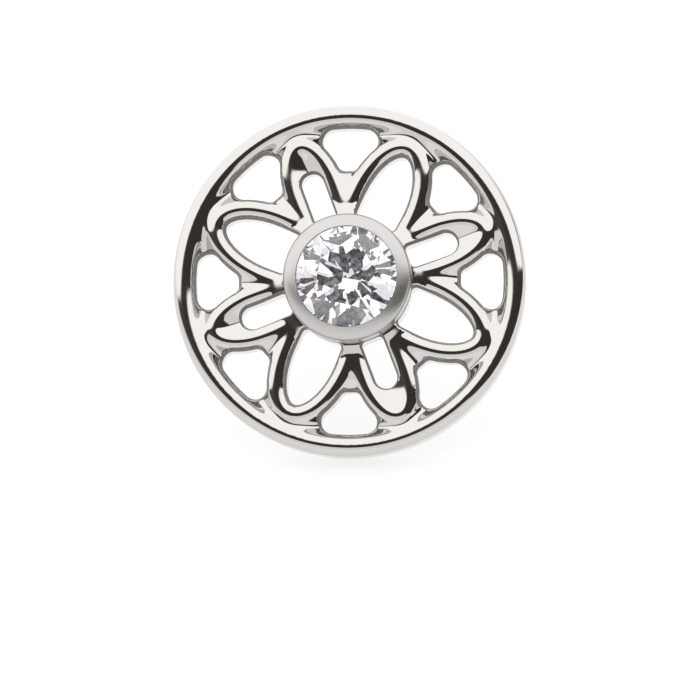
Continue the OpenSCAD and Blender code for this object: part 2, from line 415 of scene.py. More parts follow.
@dataclass(frozen=True)
class ClearStone(NodeFinish):
    """Clear cut stone with painted light for its fire: faint cool and rosy tint zones and a fine patchy
    glow.
    """

    name: str = "cut_stone"
    ior: float = 2.16
    zone_scale: float = 1700.0
    zone_detail: float = 1.0
    zone_edge: Span = (0.4, 0.6)
    cool: Colour = (0.92, 0.955, 1.0)
    rosy: Colour = (0.97, 0.947, 0.987)
    # painted glow: strength of the patchy glow that stands in for the stone's fire
    painted_glow: float = 0.063
    painted_glow_scale: float = 6500.0
    painted_glow_detail: float = 2.0
    painted_glow_edge: Span = (0.45, 0.62)
    cool_painted_glow: Colour = (0.8, 0.92, 1.1)
    rosy_painted_glow: Colour = (1.04, 0.93, 1.0)

    def looks(self, tree: Tree) -> Dict[str, object]:
        """Clear glass, tinted by zones, with a faint painted glow in patches; tints and glow are painted
        light for the stone's fire.

        Args:
            tree: the material's tree.

        Returns:
            The shader's inputs by their names.
        """
        place = tree.place()
        # painted light: cool and rosy tint zones and a patchy glow stand in for the stone's fire
        zones = tree.smooth_step(tree.noise(place, self.zone_scale, self.zone_detail), *self.zone_edge)
        glow_patches = tree.smooth_step(tree.noise(place, self.painted_glow_scale, self.painted_glow_detail), *self.painted_glow_edge)
        return {
            "Base Color": tree.mixed(zones, self.cool, self.rosy),
            "Roughness": 0.0,
            "IOR": self.ior,
            "Transmission Weight": 1.0,
            "Emission Color": tree.mixed(zones, self.cool_painted_glow, self.rosy_painted_glow),
            "Emission Strength": glow_patches * self.painted_glow,
        }


@dataclass(frozen=True)
class PaleFloor(NodeFinish):
    """Matt white board that is lit from below, so that shadows on it stay faint."""

    name: str = "pale_floor"
    colour: Colour = (0.26, 0.26, 0.26)
    shade: float = 0.01
    glow: float = 0.77
    mottle_scale: float = 60.0
    mottle_detail: float = 2.0
    roughness: float = 0.8
    shine: float = 0.2

    def looks(self, tree: Tree) -> Dict[str, object]:
        """A matt and slightly mottled white that glows.

        Args:
            tree: the material's tree.

        Returns:
            The shader's inputs by their names.
        """
        mottle = tree.noise(tree.place(), self.mottle_scale, self.mottle_detail)
        shaded = tuple(part - self.shade for part in self.colour)
        return {
            "Base Color": tree.mixed(mottle, shaded, self.colour),
            "Roughness": self.roughness,
            "Specular IOR Level": self.shine,
            "Emission Color": (1.0, 1.0, 1.0, 1.0),
            "Emission Strength": self.glow,
        }


class Finish(Enum):
    """The finishes of the top, each with the record's slot that it belongs to."""

    # the polished finish paints shade on the bevels of the disc's openings
    POLISHED = ("polished_metal", Metal("mirror_polish", (0.63, 0.612, 0.595), 0.05, 0.02,
                                        wave_depth=0.0012, bevels=BEVEL))
    SATIN = ("cup_metal", Metal("soft_polish", (0.56, 0.547, 0.532), 0.31, 0.04,
                                wave_depth=0.002, grain_depth=0.0002))
    DRAWN = ("pin_metal", Metal("drawn_wire", (0.6, 0.585, 0.57), 0.18, 0.05,
                                grain_scale=(12000.0, 1500.0, 1500.0), grain_depth=0.0003))
    STONE = ("clear_stone", ClearStone())

    @property
    def slot(self) -> str:
        """The record's material slot."""
        return self.value[0]

    def material(self) -> bpy.types.Material:
        """The finish's material."""
        return self.value[1].material()


# Drawing in the plane


def arc(centre: complex, radius: float, start: float, end: float, grain: float) -> Outline:
    """Points of an arc between two directions in radians, no further apart than grain."""
    steps = max(2, math.ceil(abs(end - start) * radius / grain))
    return [centre + cmath.rect(radius, start + (end - start) * i / steps) for i in range(steps + 1)]


def turned(a: float, b: float) -> float:
    """The direction b, written so that it lies within half a turn of direction a."""
    return a + (b - a + math.pi) % math.tau - math.pi


def mirrored(points: Outline) -> Outline:
    """The points mirrored in the X axis, in the opposite order."""
    return [p.conjugate() for p in reversed(points)]


def evenly(start: float, end: float, grain: float) -> List[float]:
    """Even steps from start to end, no further apart than grain, both ends among them."""
    steps = max(1, math.ceil(abs(end - start) / grain))
    return [start + (end - start) * i / steps for i in range(steps + 1)]


def flat_mesh(name: str, points: Sequence[complex], faces: Sequence[Sequence[int]]) -> bpy.types.Mesh:
    """A mesh in the plane z = 0 from points in millimetres.

    Args:
        name: the mesh's name.
        points: its points.
        faces: each face's points by their numbers.

    Returns:
        The mesh.
    """
    mesh = bpy.data.meshes.new(name)
    mesh.from_pydata([(p.real * MM, p.imag * MM, 0.0) for p in points], [], faces)
    return mesh


def lathe(name: str, profile: Sequence[Span], sides: int, crease: float) -> bpy.types.Mesh:
    """Turns a profile about the Z axis.

    Args:
        name: the mesh's name.
        profile: radius and height in millimetres, from the axis round to the axis again; a radius
            of zero closes the mesh in a pole.
        sides: how many faces go round.
        crease: angle in degrees from which an edge is sharp.

    Returns:
        The closed mesh, with its faces outwards.
    """
    verts: List[Tuple[float, float, float]] = []
    rows: List[List[int]] = []
    for radius, height in profile:
        count = sides if radius else 1
        rows.append([len(verts) + i % count for i in range(sides)])
        for i in range(count):
            p = cmath.rect(radius * MM, math.tau * i / sides)
            verts.append((p.real, p.imag, height * MM))
    faces = []
    for low, high in zip(rows, rows[1:]):
        for i in range(sides):
            j = (i + 1) % sides
            corners = [low[i], low[j], high[j], high[i]]
            faces.append([c for k, c in enumerate(corners) if c not in corners[:k]])
    mesh = bpy.data.meshes.new(name)
    mesh.from_pydata(verts, [], faces)
    mesh.shade_smooth()
    mesh.set_sharp_from_angle(angle=math.radians(crease))
    return mesh


# The resting place


@dataclass(frozen=True)
class RestingPlace:
    """How the top lies: the floor touches the rim's back edge and the pin's round tip."""

    disc_r: float = 5.0
    rim_h: float = 1.05
    rim_bar: float = 0.6
    back_edge: float = 0.12
    pin_r: float = 0.28
    pin_l: float = 5.44

    @property
    def lean(self) -> float:
        """Angle in radians by which the disc's axis leans from upright towards -Y.

        Returns:
            The angle.
        """
        edge_y = self.back_edge - self.disc_r
        rise = self.back_edge - (self.pin_r - self.pin_l)
        reach = math.hypot(edge_y, rise)
        return math.acos((self.back_edge - self.pin_r) / reach) - math.atan2(-edge_y, rise)

    @property
    def matrix(self) -> Matrix:
        """Moves a piece, drawn flat in metres, to where it lies.

        Returns:
            The matrix.
        """
        sin, cos = math.sin(self.lean), math.cos(self.lean)
        drop = (self.back_edge - self.disc_r) * sin + self.back_edge * cos - self.back_edge
        half_bar = self.rim_bar / 2
        front = -(self.disc_r - half_bar) * cos - (self.rim_h - half_bar) * sin - half_bar
        rear = -(self.pin_r - self.pin_l) * sin + self.pin_r
        shift = Vector((0.0, -(front + rear) / 2, -drop)) * MM
        return Matrix.Translation(shift) @ Matrix.Rotation(self.lean, 4, "X")

    def lay(self, mesh: bpy.types.Mesh, node: str, finish: Finish) -> bpy.types.Object:
        """Puts a mesh in its place as a piece of the top.

        Args:
            mesh: the mesh, drawn flat in metres.
            node: the CAD node that it stands for.
            finish: what it wears.

        Returns:
            The piece, riding on the part's body.
        """
        mesh.transform(self.matrix)
        if not mesh.materials:
            mesh.materials.append(finish.material())
        mesh.validate()
        piece = in_scene(f"{node}_look", mesh)
        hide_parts(node)
        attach(piece, "root")
        finish.slot
        log.info("%s: %d faces, %s", piece.name, len(mesh.polygons), finish.slot)
        return piece


# The flower disc


@dataclass(frozen=True)
class CrestLine:
    """Crest of a petal's bar: half an ellipse towards the rim, a longer half towards the cup."""

    belly: float
    reach: float
    root: float
    half: float
    line_end: float = 110.0
    solve_tries: int = 40

    def point(self, angle: float, off: float = 0.0) -> complex:
        """Point of the line, with the petal along +X.

        Args:
            angle: place on the line in radians; 0 is the petal's tip.
            off: distance by which the line is moved outwards.

        Returns:
            The point.
        """
        along = self.reach - self.belly if math.cos(angle) >= 0 else self.root
        normal = complex(self.half * math.cos(angle), along * math.sin(angle))
        at = complex(self.belly + along * math.cos(angle), self.half * math.sin(angle))
        return at + off * normal / abs(normal)

    def angle_at(self, off: float, target: float) -> float:
        """Angle at which the line, moved outwards by off, lies at a distance from the centre.

        Args:
            off: distance by which the line is moved outwards.
            target: the distance from the centre.

        Returns:
            The angle in radians.
        """
        low, high = 0.0, math.radians(self.line_end)
        for _ in range(self.solve_tries):
            middle = (low + high) / 2
            if abs(self.point(middle, off)) > target:
                low = middle
            else:
                high = middle
        return low

    def stretch(self, start: float, end: float, off: float, grain: float) -> Outline:
        """Points of the line between two angles, both among them.

        Args:
            start: the first angle in radians.
            end: the last angle in radians.
            off: distance by which the line is moved outwards.
            grain: greatest distance between neighbouring points.

        Returns:
            The points.
        """
        length = abs(end - start) * max(self.half, self.reach - self.belly)
        steps = max(2, math.ceil(length / grain))
        return [self.point(start + (end - start) * i / steps, off) for i in range(steps + 1)]


@dataclass(frozen=True)
class BarProfile:
    """Cross-section of a bar: flat over its crest, round beside it, and straight further down.

    The power sets how flat the crest is, and the bend is the share of the radius at which the
    straight side starts.
    """

    radius: float = 0.3
    petal_power: float = 2.4
    rim_power: float = 3.0
    rim_start: float = 4.25
    rim_end: float = 4.45
    bend: float = 0.78
    scoop_bend: float = 0.56

    def depth(self, tree: GeometryTree, away: Field, centre: Field, scoop: Field) -> Field:
        """Depth below the crest.

        Args:
            tree: the tree that works it out.
            away: distance from the crest.
            centre: distance from the disc's middle.
            scoop: 1 where the bars have the gentler sides of a scooped petal tip, otherwise 0.

        Returns:
            The depth.
        """
        radius = tree.size("Bar radius", self.radius * MM)
        bend = tree.size("Bar bend", self.bend)
        bend = between(bend, tree.size("Scoop bend", self.scoop_bend), scoop)
        petal_power = tree.size("Petal power", self.petal_power)
        rim_power = tree.size("Rim power", self.rim_power)
        at_rim = tree.smooth_step(centre, self.rim_start * MM, self.rim_end * MM)
        power = between(petal_power, rim_power, at_rim)
        away = tree.math("MAXIMUM", away, 0.0) / radius
        near = tree.math("MINIMUM", away, bend)
        left = tree.math("POWER", 1.0 - tree.math("POWER", near, power), 1.0 / power)
        end = tree.math("POWER", 1.0 - tree.math("POWER", bend, power), 1.0 / power - 1.0)
        slope = end * tree.math("POWER", bend, power - 1.0)
        return radius * (1.0 - left + (away - near) * slope)


@dataclass
class FlowerDisc:
    """The rim, the eight petals drawn by half round bars, and the web between them.

    One quarter is drawn as a flat sheet with its openings cut out. A node tree repeats it, raises
    the bars over the sheet by their distance from the crest lines, and closes walls and back.
    """

    disc_d: float = 10.0
    rim_h: float = 1.05
    rim_bar: float = 0.6
    back_edge: float = 0.12
    flower_turn: float = -1.85
    narrow_axis: float = 22.5
    petals_of_a_kind: int = 4
    petal_bar: float = 0.48
    wide: CrestLine = CrestLine(2.4, 4.11, 3.0, 0.895)
    narrow: CrestLine = CrestLine(2.75, 4.06, 1.88, 0.6)
    crest_points: int = 241
    crest_end: float = 125.0
    gap_start: float = 3.11
    gap_corner: float = 0.38
    gap_apex: float = 0.26
    slot_w: float = 0.72
    slot_reach: float = 3.29
    plug_hole_r: float = 1.52
    hub_r: float = 1.8
    fillet_r: float = 2.12
    fillet_slope: float = 14.0
    foot_r: float = 1.86
    hole_corner: float = 0.14
    hole_in: float = 0.042
    bevel_w: float = 0.06
    bevel_h: float = 0.24
    profile: BarProfile = BarProfile()
    scoop_start: Span = (0.15, 0.35)
    rim_crest_in: float = 0.27
    petal_blend: float = 0.53
    rim_blend: float = 0.5
    crease: float = 0.02
    grain: float = 0.03
    rim_grain: float = 0.048
    rim_step: float = 9.0
    back_step: float = 18.0
    wall_rows: int = 3
    lattice: float = 0.047
    lattice_clear: float = 0.65
    edge_rows: Tuple[float, ...] = (0.02, 0.04, 0.06, 0.08, 0.11)
    same_point: float = 1e-6
    no_bevel: float = -10.0
    past_bevel: float = 2.0
    upper_slack: float = 0.1
    lower_slack: float = 0.01
    back_slack: float = 0.001

    @property
    def rim_crest_r(self) -> float:
        """Radius of the rim's crest."""
        return self.disc_d / 2 - self.rim_crest_in

    @property
    def hole_off(self) -> float:
        """Distance of a hole's edge from the crest line of the petal that it follows."""
        return self.petal_bar / 2 + self.hole_in

    @property
    def rim_inner_r(self) -> float:
        """Radius of the rim's inner wall."""
        return self.disc_d / 2 - self.rim_bar

    @property
    def wall_h(self) -> float:
        """Height of the rim's plain outer wall."""
        return self.rim_h - self.rim_bar / 2 - self.back_edge

    @property
    def wall_start(self) -> float:
        """Radius in the flat sheet at which the rim's outer wall starts."""
        return self.rim_crest_r + self.rim_bar / 2 * HALF_PI

    @property
    def sheet_r(self) -> float:
        """Radius of the flat sheet, which holds the rim's outside unrolled."""
        return self.wall_start + self.wall_h + self.back_edge * HALF_PI

    def _corner(self, line: CrestLine, radius: float, circle: float, outside: bool) -> Outline:
        """Corner of a gap that touches a petal's bar and a circle about the disc's centre.

        Args:
            line: the petal's crest line.
            radius: the corner's radius.
            circle: the circle's radius.
            outside: whether the corner lies outside the circle.

        Returns:
            The corner's points, from the bar to the circle.
        """
        off = self.petal_bar / 2 + radius
        angle = line.angle_at(off, circle + (radius if outside else -radius))
        centre = line.point(angle, off)
        to_bar = cmath.phase(line.point(angle) - centre)
        to_circle = cmath.phase(-centre if outside else centre)
        return arc(centre, radius - self.hole_in, to_bar, turned(to_bar, to_circle), self.grain)

    def _gap_side(self, line: CrestLine) -> Outline:
        """One petal's side of a corner gap, from the rim to its start.

        Args:
            line: the petal's crest line.

        Returns:
            The side's points.
        """
        half = self.petal_bar / 2
        outer = line.angle_at(half + self.gap_corner, self.rim_inner_r - self.gap_corner)
        inner = line.angle_at(half + self.gap_apex, self.gap_start + self.gap_apex)
        return (
            self._corner(line, self.gap_corner, self.rim_inner_r, False)[::-1]
            + line.stretch(outer, inner, self.hole_off, self.grain)[1:-1]
            + self._corner(line, self.gap_apex, self.gap_start, True)
        )

    def _corner_gap(self) -> Outline:
        """The gap with three corners between a narrow petal on +X and the wide petal beyond it.

        Returns:
            The gap's outline.
        """
        narrow = self._gap_side(self.narrow)
        wide = [p * SEAM for p in mirrored(self._gap_side(self.wide))]
        ends = cmath.phase(wide[-1]), cmath.phase(narrow[0])
        return narrow + wide + arc(0, self.rim_inner_r - self.hole_in, *ends, self.grain)[1:-1]

    def _slot(self) -> Outline:
        """The slot through a narrow petal on +X.

        Returns:
            The slot's outline.
        """
        half_w = self.slot_w / 2 - self.hole_in
        side = half_w - self.hole_corner
        centre = complex(math.sqrt((self.hub_r + self.hole_corner) ** 2 - side**2), side)
        end = complex(self.slot_reach - self.slot_w / 2, 0)
        foot = arc(centre, self.hole_corner, HALF_PI, math.pi + cmath.phase(centre), self.grain)
        long = [complex(x, half_w) for x in evenly(end.real, foot[0].real, self.grain)][1:-1]
        tip = arc(end, half_w, 0, HALF_PI, self.grain)
        hub = arc(0, self.hub_r, cmath.phase(foot[-1]), 0, self.grain)[1:]
        half = tip + long + foot + hub
        return half + mirrored(half)[1:-1]

    def _half_wide_hole(self) -> Outline:
        """Half of a wide petal's hole, from the hub to its tip, with the petal on +X.

        Returns:
            The half's points.
        """
        off = -self.hole_off - self.hole_corner
        angle = self.wide.angle_at(off, self.hub_r + self.hole_corner)
        centre = self.wide.point(angle, off)
        to_bar = cmath.phase(self.wide.point(angle) - centre)
        foot = arc(centre, self.hole_corner, to_bar, turned(to_bar, cmath.phase(-centre)), self.grain)
        hub = arc(0, self.hub_r, 0, cmath.phase(foot[-1]), self.grain)
        side = self.wide.stretch(angle, 0, -self.hole_off, self.grain)
        return hub[:-1] + foot[::-1] + side[1:]

    def _quarter(self) -> Tuple[Outline, List[Outline], Outline]:
        """Draws the quarter with a narrow petal on +X, between the axes of two wide petals.

        Returns:
            The border, the openings, and the half hole that is a part of the border.
        """
        half_hole = [p.conjugate() * SEAM for p in self._half_wide_hole()]
        hub = [self.hub_r - away for away in self.edge_rows[::-1]]
        tip = [self.wide.reach - self.hole_off + away for away in self.edge_rows]
        beyond = tip[:-1] + evenly(tip[-1], self.rim_crest_r, self.grain) + self._rim_rows()
        side = (
            [r * SEAM for r in evenly(self.plug_hole_r, hub[0], self.grain)[:-1] + hub]
            + half_hole
            + [r * SEAM for r in beyond]
        )
        plug = arc(0, self.plug_hole_r, -SEAM_ANGLE, SEAM_ANGLE, self.grain)[1:-1]
        outer = arc(0, self.sheet_r, SEAM_ANGLE, -SEAM_ANGLE, self.rim_grain)[1:-1]
        gap = self._corner_gap()
        return plug + side + outer + mirrored(side), [self._slot(), gap, mirrored(gap)], half_hole

    def _rim_rows(self) -> List[float]:
        """Radii in the flat sheet of the rows that make the rim's outside.

        Returns:
            The radii, outwards.
        """
        wall_end = self.wall_start + self.wall_h
        bar_step = self.rim_bar / 2 * math.radians(self.rim_step)
        return (
            evenly(self.rim_crest_r, self.wall_start, bar_step)[1:]
            + evenly(self.wall_start, wall_end, self.wall_h / self.wall_rows)[1:]
            + evenly(wall_end, self.sheet_r, self.back_edge * math.radians(self.back_step))[1:]
        )

    def _hole_row(self, hole: Outline, ends: Outline, away: float) -> Outline:
        """One row of points in the metal along a hole's edge.

        Args:
            hole: the hole's outline, with the metal on its right.
            ends: the row's own two ends where the seams cut the hole; empty for a whole hole.
            away: the row's distance from the edge.

        Returns:
            The row's points, in the order of the outline's.
        """
        count = len(hole)
        points = []
        for i in range(1, count - 1) if ends else range(count):
            along = hole[(i + 1) % count] - hole[i - 1]
            point = hole[i] - 1j * along / abs(along) * away
            if abs(cmath.phase(point)) < SEAM_ANGLE:
                points.append(point)
        return ends[:1] + points + ends[1:]

    def _lattice(self, ready: Outline, loops: Sequence[Outline]) -> Outline:
        """Even points that fill the metal between the points that are ready.

        Args:
            ready: the points that are ready.
            loops: the sheet's border and openings.

        Returns:
            The further points.
        """
        tree = kdtree.KDTree(len(ready))
        for i, p in enumerate(ready):
            tree.insert((p.real, p.imag, 0), i)
        tree.balance()
        height = self.lattice * math.sqrt(3) / 2
        rows = math.ceil(self.disc_d / 2 / height)
        spread = [
            complex((i + j % 2 / 2) * self.lattice, j * height)
            for j in range(-rows, rows + 1)
            for i in range(int(self.disc_d / 2 / self.lattice))
        ]
        clear = self.lattice_clear * self.lattice
        spread = [p for p in spread
                  if abs(p) < self.rim_crest_r and tree.find((p.real, p.imag, 0))[2] > clear]
        return list(np.array(spread)[self._inside(np.array(spread), loops)])

    def _sheet(self) -> bpy.types.Mesh:
        """The quarter as a flat sheet of small triangles.

        Returns:
            The sheet.
        """
        border, holes, half_hole = self._quarter()
        loops = [border, *holes]
        points: Outline = []
        edges: List[Tuple[int, int]] = []
        for loop in loops:
            first = len(points)
            edges += [(first + i, first + (i + 1) % len(loop)) for i in range(len(loop))]
            points += loop
        for radius in (*self._rim_rows()[:-1], self.rim_crest_r):
            points += arc(0, radius, -SEAM_ANGLE, SEAM_ANGLE, self.rim_grain)[1:-1]
        for away in self.edge_rows:
            ends = [(self.wide.reach - self.hole_off + away) * SEAM, (self.hub_r - away) * SEAM]
            rows = [self._hole_row(hole, [], away) for hole in holes]
            rows.append(self._hole_row(half_hole[::-1], ends, away))
            rows.append(self._hole_row(mirrored(half_hole)[::-1], mirrored(ends), away))
            for row in rows:
                if away == self.bevel_w:
                    edges += [(i, i + 1) for i in range(len(points), len(points) + len(row) - 1)]
                points += row
        points += self._lattice(points, loops)
        flat = [Vector((p.real, p.imag)) for p in points]
        found, _, faces, _, _, _ = geometry.delaunay_2d_cdt(flat, edges, [], 0, self.same_point)
        at = np.array([complex(*p) for p in found])
        corners = np.array(faces)
        kept = corners[self._inside(at[corners].mean(axis=1), loops)]
        return flat_mesh("flower_quarter", at, kept.tolist())

    @staticmethod
    def _inside(points: np.ndarray, loops: Sequence[Outline]) -> np.ndarray:
        """Which points lie in the metal, that is inside an odd number of the loops.

        Args:
            points: the points.
            loops: the sheet's border and openings.

        Returns:
            True for each point in the metal.
        """
        odd = np.zeros(len(points), bool)
        for loop in loops:
            for a, b in zip(loop, [*loop[1:], loop[0]]):
                if a.imag == b.imag:
                    continue
                crosses = (points.imag < a.imag) != (points.imag < b.imag)
                x = a.real + (points.imag - a.imag) / (b.imag - a.imag) * (b.real - a.real)
                odd ^= crosses & (points.real < x)
        return odd

    def _crest(self, tree: GeometryTree, count: Field, name: str, line: CrestLine, start: float) -> Field:
        """Crest lines of the petals of one kind, as edges in the plane.

        Args:
            tree: the tree that they are a part of.
            count: how many petals there are of the kind.
            name: which petals they are.
            line: the crest line.
            start: angle of the first petal in degrees.

        Returns:
            The lines as geometry.
        """
        belly, reach, root, half = [
            tree.size(f"{name} {part}", getattr(line, part) * MM)
            for part in ("belly", "reach", "root", "half")
        ]
        end = math.radians(self.crest_end)
        step = 2 * end / (self.crest_points - 1)
        drawn = tree.get("GeometryNodeMeshLine", self.crest_points, (0, 0, 0), (MM, 0, 0), mode="OFFSET")
        angle = tree.get("GeometryNodeInputIndex") * step - end
        cos = tree.math("COSINE", angle)
        ahead = tree.math("GREATER_THAN", cos, 0.0)
        along = root + ahead * (reach - belly - root)
        place = tree.vector(belly + along * cos, half * tree.math("SINE", angle), 0.0)
        return tree.repeated(tree.moved(drawn, place), count, start)

    def _depth(self, tree: GeometryTree, flat: Field, size: SimpleNamespace,
               guide: SimpleNamespace) -> Field:
        """Depth of the disc's face below the rim's crest over a point of the flat sheet.

        Args:
            tree: the tree that works it out.
            flat: the point in the sheet.
            size: the tree's named sizes.
            guide: the crest lines and the edges of the holes.

        Returns:
            The depth.
        """
        x, y, _ = tree.parts(flat)
        radius = tree.vector_math("LENGTH", flat, out=1)
        narrow, wide = tree.distance(guide.narrow, flat), tree.distance(guide.wide, flat)
        crest = tree.math("SMOOTH_MIN", narrow, wide, size.petal_blend)
        crest = tree.math("SMOOTH_MIN", crest, size.rim_crest_r - radius, size.rim_blend)
        petal = tree.math("WRAP", tree.math("ARCTAN2", y, x), SEAM_ANGLE, -SEAM_ANGLE)
        across = radius * tree.math("SINE", petal) / size.scoop_half
        past = (radius * tree.math("COSINE", petal) - size.scoop_middle) / size.scoop_length
        scoop = tree.math("LESS_THAN", past * past + across * across, 1.0)
        scoop = scoop * tree.smooth_step(past, *self.scoop_start)
        depth = self.profile.depth(tree, crest, radius, scoop)
        fillet = (tree.math("MAXIMUM", radius, size.foot_r) - size.fillet_r) * size.fillet_slope
        depth = tree.math("SMOOTH_MIN", depth, fillet, size.crease)
        near = tree.math("MINIMUM", tree.distance(guide.holes, flat), size.bevel_w)
        return depth + (1.0 - near / size.bevel_w) * size.bevel_h

    def _raised(self, tree: GeometryTree, flat: Field, size: SimpleNamespace, depth: Field) -> Field:
        """Where a point of the flat sheet comes to lie on the disc's face or round its rim.

        Args:
            tree: the tree that works it out.
            flat: the point in the sheet.
            size: the tree's named sizes.
            depth: depth of the face below the rim's crest there.

        Returns:
            The point's place.
        """
        x, y, _ = tree.parts(flat)
        radius = tree.vector_math("LENGTH", flat, out=1)
        inside = tree.math("LESS_THAN", radius, size.rim_crest_r)
        outer = tree.math("MAXIMUM", radius - size.rim_crest_r, 0.0)
        angle = tree.math("MINIMUM", outer / size.outer_radius, HALF_PI)
        down = tree.math("MAXIMUM", outer - size.outer_radius * HALF_PI, 0.0)
        wall = tree.math("MINIMUM", down, size.wall_h)
        back = (down - wall) / size.back_edge
        out = (
            tree.math("MINIMUM", radius, size.rim_crest_r)
            + size.rim_crest_in * tree.math("SINE", angle)
            - size.back_edge * (1.0 - tree.math("COSINE", back))
        )
        height = (
            size.rim_h
            - size.outer_radius * (1.0 - tree.math("COSINE", angle))
            - wall
            - size.back_edge * tree.math("SINE", back)
            - depth * inside
        )
        scale = out / radius
        return tree.vector(x * scale, y * scale, height)

    def _sizes(self, tree: GeometryTree) -> SimpleNamespace:
        """The tree's named sizes: the disc's own, and a few that are worked out from them.

        Args:
            tree: the tree that gets them.

        Returns:
            The sizes by their names.
        """
        own = ("rim_h", "rim_crest_r", "rim_crest_in", "rim_inner_r", "wall_h", "back_edge", "petal_blend",
               "rim_blend", "crease", "fillet_r", "foot_r", "bevel_w", "bevel_h", "sheet_r")
        lengths = {name: getattr(self, name) for name in own}
        lengths["outer_radius"] = self.rim_bar / 2
        lengths["back_r"] = self.disc_d / 2 - self.back_edge
        lengths["scoop_middle"] = self.narrow.belly
        lengths["scoop_length"] = self.narrow.reach - self.narrow.belly
        lengths["scoop_half"] = self.narrow.half
        words = {"h": "height", "r": "radius", "w": "width"}
        sizes = {}
        for name, length in lengths.items():
            label = " ".join(words.get(part, part) for part in name.split("_"))
            sizes[name] = tree.size(label, length * MM)
        sizes["fillet_slope"] = tree.size("fillet slope", math.tan(math.radians(self.fillet_slope)))
        return SimpleNamespace(**sizes)

    def _tree(self) -> GeometryTree:
        """The node tree that makes the whole disc of the flat quarter.

        Returns:
            The tree.
        """
        tree = GeometryTree("flower_disc")
        count = tree.size("petals of a kind", self.petals_of_a_kind)
        size = self._sizes(tree)
        sheet = tree.welded(tree.repeated(tree.mesh, count))
        flat = tree.get("GeometryNodeInputPosition")
        radius = tree.vector_math("LENGTH", flat, out=1)
        open_edge = tree.math("COMPARE", tree.get("GeometryNodeInputMeshEdgeNeighbors"), 1.0, 0.1)
        of_hole = open_edge * tree.math("LESS_THAN", radius, size.rim_crest_r)
        guide = SimpleNamespace(
            narrow=self._crest(tree, count, "narrow petal", self.narrow, 0.0),
            wide=self._crest(tree, count, "wide petal", self.wide, math.degrees(SEAM_ANGLE)),
            holes=tree.get("GeometryNodeSeparateGeometry", sheet, of_hole, domain="EDGE"),
        )
        across = tree.distance(guide.holes, flat) / size.bevel_w
        face = tree.marked(sheet, BEVEL, tree.math("MINIMUM", across, self.past_bevel))
        depth = self._depth(tree, flat, size, guide)
        face = tree.moved(face, self._raised(tree, flat, size, depth))

        walls = tree.add("GeometryNodeExtrudeMesh", face, of_hole, (0, 0, 0), 0.0, mode="EDGES")
        shell, foot = [Field(tree, out) for out in walls.outputs[:2]]
        x, y, _ = tree.parts(flat)
        shell = tree.moved(shell, tree.vector(x, y, 0.0), foot)
        shell = tree.marked(shell, BEVEL, self.no_bevel, foot)

        rim = tree.math("MAXIMUM", radius - size.rim_inner_r, 0.0)
        rim = rim * (size.back_r - size.rim_inner_r) / (size.sheet_r - size.rim_inner_r)
        scale = (tree.math("MINIMUM", radius, size.rim_inner_r) + rim) / radius
        back = tree.moved(sheet, tree.vector(x * scale, y * scale, 0.0))
        back = tree.marked(tree.get("GeometryNodeFlipFaces", back), BEVEL, self.no_bevel)
        joined = tree.add("GeometryNodeJoinGeometry")
        for part in (shell, back):
            tree.feed(joined.inputs[0], part)
        whole = tree.welded(Field(tree, joined.outputs[0]))
        tree.finish(tree.get("GeometryNodeSetShadeSmooth", whole, None, True))
        return tree

    def _crease(self, mesh: bpy.types.Mesh) -> None:
        """Makes both edges of the bevels sharp, and all that lies in the plane of the back.

        Args:
            mesh: the disc's mesh.
        """
        across = [point.value for point in mesh.attributes[BEVEL].data]
        at_back = [vertex.co.z < self.back_slack * MM for vertex in mesh.vertices]
        for edge in mesh.edges:
            ends = edge.vertices
            edge.use_edge_sharp = (
                all(abs(across[end] - 1) < self.upper_slack for end in ends)
                or all(abs(across[end]) < self.lower_slack for end in ends)
                or all(at_back[end] for end in ends)
            )

    def build(self, place: RestingPlace) -> bpy.types.Object:
        """Builds the disc and lays it down.

        Args:
            place: how the top lies.

        Returns:
            The piece.
        """
        mesh = self._tree().applied(self._sheet(), Finish.POLISHED.material())
        self._crease(mesh)
        mesh.transform(Matrix.Rotation(math.radians(self.narrow_axis + self.flower_turn), 4, "Z"))
        return place.lay(mesh, "flower_disc", Finish.POLISHED)


# Cup, stone and pin


